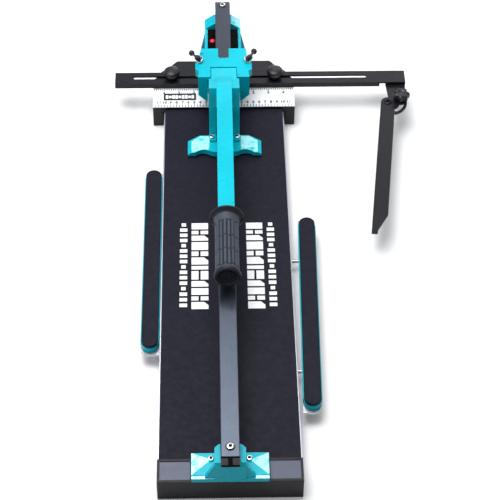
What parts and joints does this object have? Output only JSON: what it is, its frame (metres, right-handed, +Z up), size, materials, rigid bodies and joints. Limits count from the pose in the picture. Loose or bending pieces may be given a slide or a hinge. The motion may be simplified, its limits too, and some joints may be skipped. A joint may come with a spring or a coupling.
{
  "type": "manual tile cutter",
  "caption": "Rail tile cutter: padded channel bed, beam rail, roller carriage with scoring and breaking lever, fence with sliding bar and swinging stop, pull-out side supports.",
  "frame": {"origin": "on the ground, at the middle of the front rubber foot's lower face", "axes": "+Y along the rail from the user's end to the fence, +Z up, +X to the user's right"},
  "size_m": [0.4995, 0.9705, 0.162],
  "materials": {
    "teal_paint": "gloss",
    "black_paint": "satin",
    "black_plastic": "matte",
    "cap_plastic": "matte",
    "mat_rubber": "matte",
    "grip_rubber": "matte",
    "foot_rubber": "matte",
    "extruded_aluminium": "brushed",
    "plated_steel": "satin",
    "wheel_carbide": "polished",
    "scale_white": "satin",
    "button_red": "gloss",
    "lens_red": "clear"
  },
  "bodies": {
    "base": {"base_frame": "extruded_aluminium", "breaking_ridge": "plated_steel", "fence_base": "black_paint", "front_end_cap": "cap_plastic", "front_rail_bolt": "plated_steel", "front_rail_support": "teal_paint", "front_rubber_foot": "foot_rubber", "front_support_bolt_left": "plated_steel", "front_support_bolt_right": "plated_steel", "laser_housing": "black_plastic", "laser_lens": "lens_red", "left_mat": "mat_rubber", "rail": "extruded_aluminium", "rear_end_cap": "cap_plastic", "rear_rail_bolt": "plated_steel", "rear_rail_support": "teal_paint", "rear_rubber_foot": "foot_rubber", "rear_support_bolt_left": "plated_steel", "rear_support_bolt_right": "plated_steel", "right_mat": "mat_rubber", "ruler": "scale_white"},
    "button": {"laser_button": "button_red"},
    "carriage": {"carriage_body": "teal_paint", "pivot_bolt_left": "plated_steel", "clamp_screw_left": "plated_steel", "roller_bolt_left_front": "plated_steel", "roller_bolt_left_rear": "plated_steel", "pivot_bolt_right": "plated_steel", "clamp_screw_right": "plated_steel", "roller_bolt_right_front": "plated_steel", "roller_bolt_right_rear": "plated_steel"},
    "lever": {"lever": "teal_paint", "grip": "grip_rubber", "wheel_axle": "plated_steel", "wheel_spacer": "plated_steel", "breaking_foot": "teal_paint", "foot_bolt_left": "plated_steel", "foot_bolt_right": "plated_steel"},
    "wheel": {"cutting_wheel": "wheel_carbide"},
    "fence_bar": {"fence_bar": "black_paint", "stop_pivot_rivet": "black_paint"},
    "stop_arm": {"stop_arm": "black_paint"},
    "stop_knob": {"stop_knob": "black_plastic"},
    "knob_left": {"fence_knob_left": "black_plastic"},
    "knob_right": {"fence_knob_right": "black_plastic"},
    "clamp_left": {"clamp_lever_left": "black_plastic"},
    "clamp_right": {"clamp_lever_right": "black_plastic"},
    "left_support": {"left_support_slider": "plated_steel", "left_support_tray": "teal_paint", "left_support_pad": "mat_rubber"},
    "right_support": {"right_support_slider": "plated_steel", "right_support_tray": "teal_paint", "right_support_pad": "mat_rubber"},
    "roller_left_front": {"roller_left_front": "plated_steel"},
    "roller_left_rear": {"roller_left_rear": "plated_steel"},
    "roller_right_front": {"roller_right_front": "plated_steel"},
    "roller_right_rear": {"roller_right_rear": "plated_steel"}
  },
  "joints": [
    {"name": "carriage_slide", "type": "slide", "parent": "base", "child": "carriage", "axis": [0, -1, 0], "range_m": [0, 0.598]},
    {"name": "lever_lift", "type": "hinge", "parent": "carriage", "child": "lever", "pos_m": [0, 0.7466, 0.0905], "axis": [-1, 0, 0], "range_deg": [0, 12]},
    {"name": "wheel_spin", "type": "hinge", "parent": "lever", "child": "wheel", "pos_m": [0, 0.7646, 0.0593], "axis": [1, 0, 0], "continuous": true},
    {"name": "roller_left_front_spin", "type": "hinge", "parent": "carriage", "child": "roller_left_front", "pos_m": [-0.0089, 0.7666, 0.0905], "axis": [1, 0, 0], "continuous": true},
    {"name": "roller_left_rear_spin", "type": "hinge", "parent": "carriage", "child": "roller_left_rear", "pos_m": [-0.0089, 0.7966, 0.0905], "axis": [1, 0, 0], "continuous": true},
    {"name": "roller_right_front_spin", "type": "hinge", "parent": "carriage", "child": "roller_right_front", "pos_m": [0.0089, 0.7666, 0.0905], "axis": [1, 0, 0], "continuous": true},
    {"name": "roller_right_rear_spin", "type": "hinge", "parent": "carriage", "child": "roller_right_rear", "pos_m": [0.0089, 0.7966, 0.0905], "axis": [1, 0, 0], "continuous": true},
    {"name": "clamp_left_turn", "type": "hinge", "parent": "carriage", "child": "clamp_left", "pos_m": [-0.0375, 0.7771, 0.114], "axis": [-0.6428, 0, 0.766], "range_deg": [-30, 30]},
    {"name": "clamp_right_turn", "type": "hinge", "parent": "carriage", "child": "clamp_right", "pos_m": [0.0375, 0.7771, 0.114], "axis": [0.6428, 0, 0.766], "range_deg": [-30, 30]},
    {"name": "fence_bar_slide", "type": "slide", "parent": "base", "child": "fence_bar", "axis": [1, 0, 0], "range_m": [-0.125, 0.06]},
    {"name": "stop_arm_swing", "type": "hinge", "parent": "fence_bar", "child": "stop_arm", "pos_m": [0.2776, 0.7426, 0.0488], "axis": [0, 0, 1], "range_deg": [-7, 52]},
    {"name": "stop_knob_turn", "type": "hinge", "parent": "fence_bar", "child": "stop_knob", "pos_m": [0.30004, 0.74959, 0.06], "axis": [0, 0, 1], "range_deg": [0, 360]},
    {"name": "fence_knob_left_turn", "type": "hinge", "parent": "base", "child": "knob_left", "pos_m": [-0.088, 0.8061, 0.06], "axis": [0, 0, 1], "range_deg": [0, 360]},
    {"name": "fence_knob_right_turn", "type": "hinge", "parent": "base", "child": "knob_right", "pos_m": [0.088, 0.8061, 0.06], "axis": [0, 0, 1], "range_deg": [0, 360]},
    {"name": "left_support_slide", "type": "slide", "parent": "base", "child": "left_support", "axis": [-1, 0, 0], "range_m": [0, 0.065]},
    {"name": "right_support_slide", "type": "slide", "parent": "base", "child": "right_support", "axis": [1, 0, 0], "range_m": [-0.003, 0.055]},
    {"name": "laser_button_press", "type": "slide", "parent": "base", "child": "button", "axis": [0, 0, -1], "range_m": [0, 0.0015], "stiffness_N_per_m": 400}
  ],
  "couplings": [
    {"joint": "roller_left_front_spin", "follows": "carriage_slide", "rad_per_m": 129.87},
    {"joint": "roller_left_rear_spin", "follows": "carriage_slide", "rad_per_m": 129.87},
    {"joint": "roller_right_front_spin", "follows": "carriage_slide", "rad_per_m": 129.87},
    {"joint": "roller_right_rear_spin", "follows": "carriage_slide", "rad_per_m": 129.87}
  ]
}
